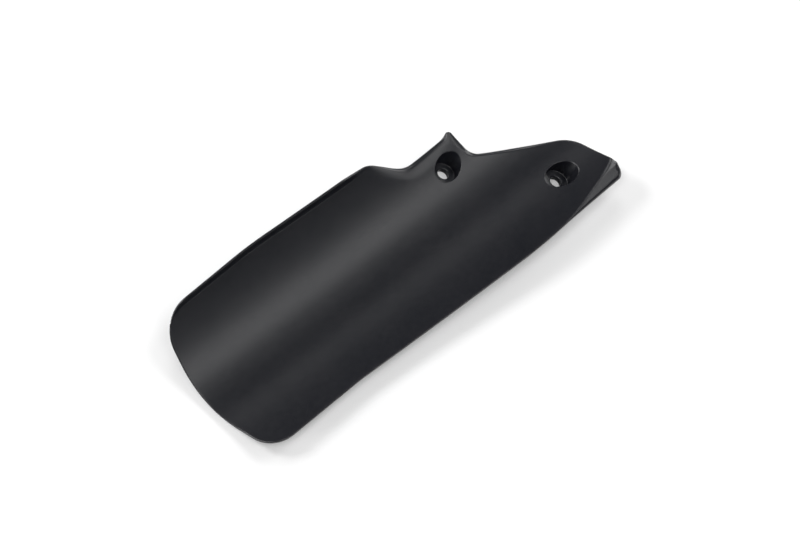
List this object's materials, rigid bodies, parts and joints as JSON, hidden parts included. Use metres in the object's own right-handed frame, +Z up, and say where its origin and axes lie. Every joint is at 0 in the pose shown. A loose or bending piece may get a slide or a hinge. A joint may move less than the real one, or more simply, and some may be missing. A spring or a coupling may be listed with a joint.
{
  "type": "shock mud flap",
  "caption": "Curved plastic mud flap that shields a motorcycle's shock absorber, hollowed along its length, with deep screw recesses at its eared mounting end.",
  "frame": {"origin": "middle of the flap's bounding box in plan, on the surface it lies on", "axes": "+X along the flap from its free end to the mounting end with the screw recesses, +Y across it towards the side with the ear and the taller flank, +Z up out of the hollow"},
  "size_m": [0.2674, 0.1018, 0.0288],
  "materials": {
    "moulded_plastic": "satin black, fine moulded grain"
  },
  "bodies": {
    "root": {"mud_flap": "moulded_plastic"}
  },
  "joints": []
}
